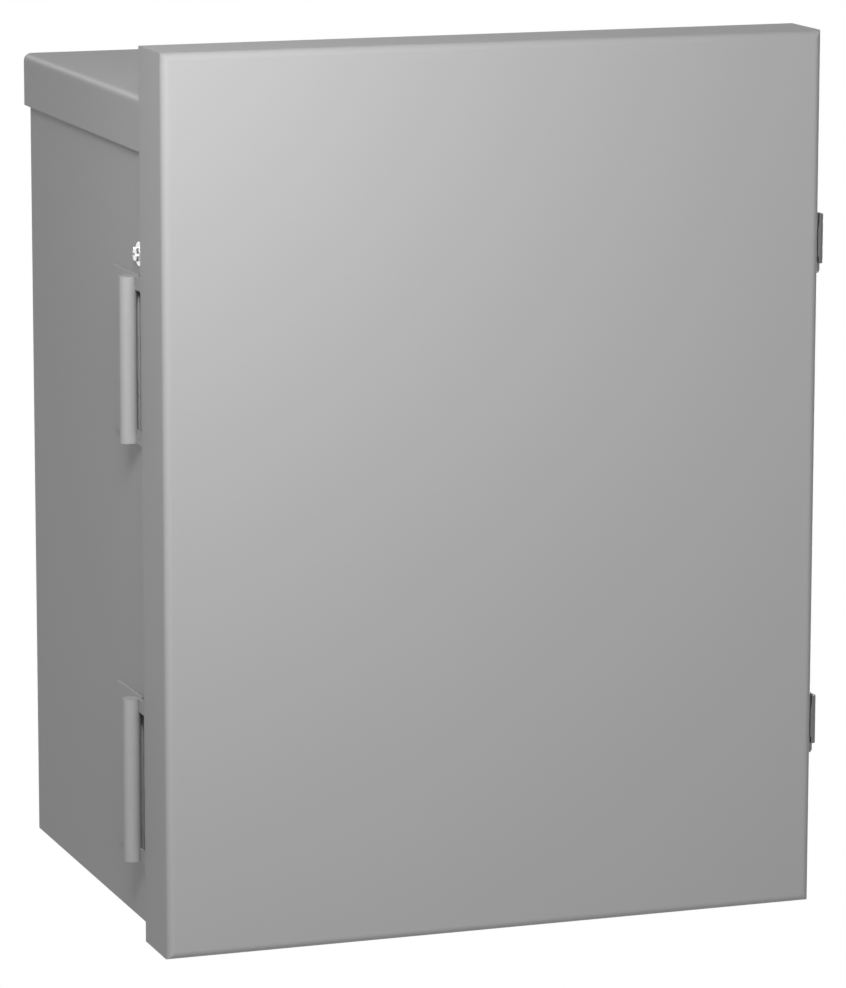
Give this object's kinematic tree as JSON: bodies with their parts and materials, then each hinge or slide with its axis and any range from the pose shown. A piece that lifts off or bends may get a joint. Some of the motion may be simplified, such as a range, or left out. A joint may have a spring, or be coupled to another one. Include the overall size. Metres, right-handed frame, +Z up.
{
  "type": "electrical enclosure",
  "caption": "Wall-mounted box of folded sheet steel with a rain cap and a deep overlapping door, hung on side barrel hinges and held by draw latches.",
  "frame": {"origin": "middle of the four wall holes, on the plane of the bosses that bear on the wall", "axes": "+Z up; +Y from the door towards the wall; +X to the right of someone who faces the door, which is hinged on the left"},
  "size_m": [0.4386, 0.3194, 0.5456],
  "materials": {
    "grey_paint": "satin light grey powder coat",
    "white_paint": "satin white powder coat",
    "latch_steel": "dull zinc plate",
    "zinc": "zinc plate",
    "bright_plate": "bright nickel plate",
    "foam": "closed-cell foam rubber"
  },
  "bodies": {
    "case": {"body_shell": "grey_paint", "bottom_panel": "grey_paint", "drip_top": "grey_paint", "inner_panel": "white_paint", "panel_studs": "zinc", "panel_nuts": "zinc", "earth_stud": "zinc", "earth_nut": "zinc", "bonding_screw": "bright_plate", "bonding_nut": "zinc", "upper_hinge_body_leaf": "grey_paint", "upper_hinge_pin": "grey_paint", "upper_latch_base": "latch_steel", "upper_base_rivets": "latch_steel", "upper_lever_pins": "latch_steel", "lower_hinge_body_leaf": "grey_paint", "lower_hinge_pin": "grey_paint", "lower_latch_base": "latch_steel", "lower_base_rivets": "latch_steel", "lower_lever_pins": "latch_steel"},
    "door": {"door": "grey_paint", "door_gasket": "foam", "door_stud": "zinc", "upper_hinge_door_leaf": "grey_paint", "upper_latch_strike": "latch_steel", "upper_strike_rivets": "latch_steel", "lower_hinge_door_leaf": "grey_paint", "lower_latch_strike": "latch_steel", "lower_strike_rivets": "latch_steel"},
    "upper_lever": {"upper_latch_lever": "latch_steel", "upper_hook_pin": "latch_steel"},
    "upper_hook": {"upper_latch_hook": "latch_steel"},
    "lower_lever": {"lower_latch_lever": "latch_steel", "lower_hook_pin": "latch_steel"},
    "lower_hook": {"lower_latch_hook": "latch_steel"}
  },
  "joints": [
    {"name": "door_swing", "type": "hinge", "parent": "case", "child": "door", "pos_m": [-0.2109, -0.2513, 0], "axis": [0, 0, -1], "range_deg": [0, 170]},
    {"name": "upper_lever_turn", "type": "hinge", "parent": "case", "child": "upper_lever", "pos_m": [0.2122, -0.2614, 0.15615], "axis": [0, 0, -1], "range_deg": [0, 100]},
    {"name": "upper_hook_turn", "type": "hinge", "parent": "upper_lever", "child": "upper_hook", "pos_m": [0.2107, -0.2494, 0.15615], "axis": [0, 0, -1], "range_deg": [-110, 0]},
    {"name": "lower_lever_turn", "type": "hinge", "parent": "case", "child": "lower_lever", "pos_m": [0.2122, -0.2614, -0.14635], "axis": [0, 0, -1], "range_deg": [0, 100]},
    {"name": "lower_hook_turn", "type": "hinge", "parent": "lower_lever", "child": "lower_hook", "pos_m": [0.2107, -0.2494, -0.14635], "axis": [0, 0, -1], "range_deg": [-110, 0]}
  ],
  "couplings": [
    {"joint": "upper_hook_turn", "follows": "upper_lever_turn", "ratio": -1.1},
    {"joint": "lower_hook_turn", "follows": "lower_lever_turn", "ratio": -1.1}
  ]
}
